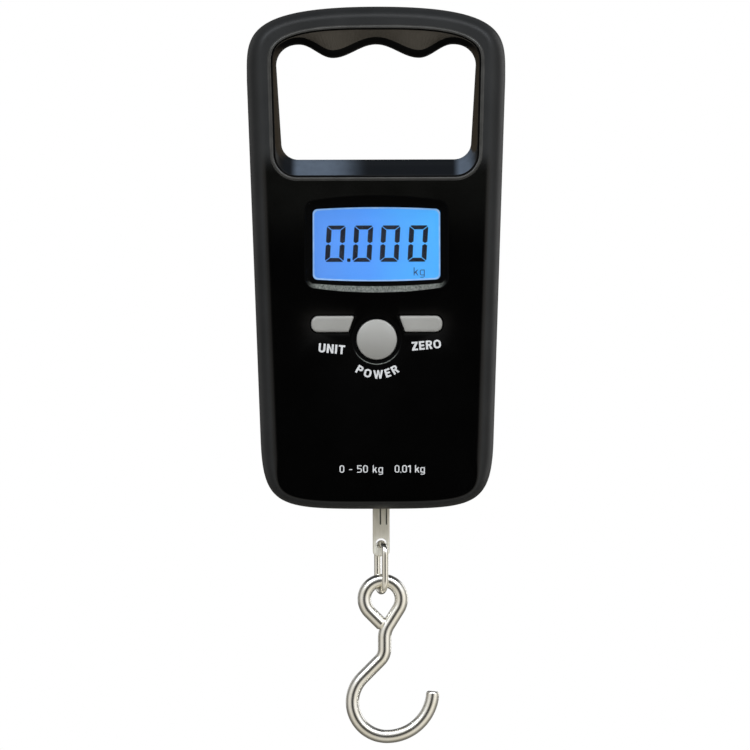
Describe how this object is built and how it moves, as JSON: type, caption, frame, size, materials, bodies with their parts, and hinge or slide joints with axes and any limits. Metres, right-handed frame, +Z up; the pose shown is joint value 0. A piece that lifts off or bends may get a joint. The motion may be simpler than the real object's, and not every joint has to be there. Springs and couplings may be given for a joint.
{
  "type": "digital fish scale",
  "caption": "Hand-held digital hanging scale with a moulded finger grip, lit display, push buttons, and a steel strap, link and hook below.",
  "frame": {"origin": "middle of the grip's underside, half way across the finger opening and between the two faces, where the hand carries the scale", "axes": "+X to the right for a person reading the display, -Y out of the front face, +Z up along the body"},
  "size_m": [0.0748, 0.0279, 0.2129],
  "materials": {
    "shell_plastic": "black moulded ABS, fine satin texture",
    "window_plastic": "clear acrylic",
    "lit_display": "blue-lit liquid crystal",
    "backlight": "diffusing sheet, lit blue-white",
    "key_plastic": "light warm grey, satin",
    "foam_rubber": "matte black",
    "board_laminate": "green solder mask",
    "chip_plastic": "moulded epoxy",
    "can_metal": "drawn can",
    "cell_aluminium": "milled",
    "gauge_foil": "foil on amber film",
    "zinc_steel": "zinc plated",
    "nickel_steel": "bright nickel plate",
    "battery_sleeve": "printed sleeve, plain",
    "contact_steel": "nickel plated spring steel",
    "red_wire": "insulated wire",
    "black_wire": "insulated wire",
    "grey_wire": "insulated cable"
  },
  "bodies": {
    "housing": {"front_shell": "shell_plastic", "rear_shell": "shell_plastic", "display_window": "window_plastic", "lcd_glass": "lit_display", "lcd_backlight": "backlight", "display_gasket": "foam_rubber", "lcd_connector": "foam_rubber", "main_board": "board_laminate", "controller_chip": "chip_plastic", "amplifier_chip": "chip_plastic", "capacitor": "chip_plastic", "power_switch": "chip_plastic", "unit_switch": "chip_plastic", "tare_switch": "chip_plastic", "crystal": "can_metal", "load_cell": "cell_aluminium", "strain_gauge_left": "gauge_foil", "strain_gauge_right": "gauge_foil", "anchor_plate": "zinc_steel", "anchor_bolt": "zinc_steel", "anchor_screw_left": "zinc_steel", "anchor_screw_right": "zinc_steel", "hanger_pin": "zinc_steel", "board_screw_1": "zinc_steel", "board_screw_2": "zinc_steel", "board_screw_3": "zinc_steel", "board_screw_4": "zinc_steel", "case_screw_1": "zinc_steel", "case_screw_2": "zinc_steel", "case_screw_3": "zinc_steel", "case_screw_4": "zinc_steel", "case_screw_5": "zinc_steel", "case_screw_6": "zinc_steel", "battery_1": "battery_sleeve", "battery_2": "battery_sleeve", "contact_bridge": "contact_steel", "contact_positive": "contact_steel", "contact_negative": "contact_steel", "battery_wire_red": "red_wire", "battery_wire_black": "black_wire", "gauge_cable": "grey_wire"},
    "battery_cover": {"battery_cover": "shell_plastic"},
    "power_button": {"power_button": "key_plastic"},
    "unit_button": {"unit_button": "key_plastic"},
    "tare_button": {"tare_button": "key_plastic"},
    "hanger": {"hanger_strap": "nickel_steel"},
    "link": {"link_ring": "nickel_steel"},
    "hook": {"hook": "nickel_steel"}
  },
  "joints": [
    {"name": "power_press", "type": "slide", "parent": "housing", "child": "power_button", "axis": [0, 1, 0], "range_m": [0, 0.0007], "stiffness_N_per_m": 400, "springref_m": -0.0005},
    {"name": "unit_press", "type": "slide", "parent": "housing", "child": "unit_button", "axis": [0, 1, 0], "range_m": [0, 0.0007], "stiffness_N_per_m": 400, "springref_m": -0.0005},
    {"name": "tare_press", "type": "slide", "parent": "housing", "child": "tare_button", "axis": [0, 1, 0], "range_m": [0, 0.0007], "stiffness_N_per_m": 400, "springref_m": -0.0005},
    {"name": "cover_open", "type": "hinge", "parent": "housing", "child": "battery_cover", "pos_m": [0, 0.0138, -0.041], "axis": [1, 0, 0], "range_deg": [0, 55]},
    {"name": "hanger_swing", "type": "hinge", "parent": "housing", "child": "hanger", "pos_m": [0.0011, 0, -0.1224], "axis": [0, 1, 0], "range_deg": [-6, 6]},
    {"name": "link_swing", "type": "hinge", "parent": "hanger", "child": "link", "pos_m": [0.0011, 0, -0.14785], "axis": [0.9397, 0.342, 0], "range_deg": [-45, 45]},
    {"name": "hook_swing", "type": "hinge", "parent": "link", "child": "hook", "pos_m": [0.0015, 0, -0.16065], "axis": [0, 1, 0], "range_deg": [-70, 70]}
  ]
}
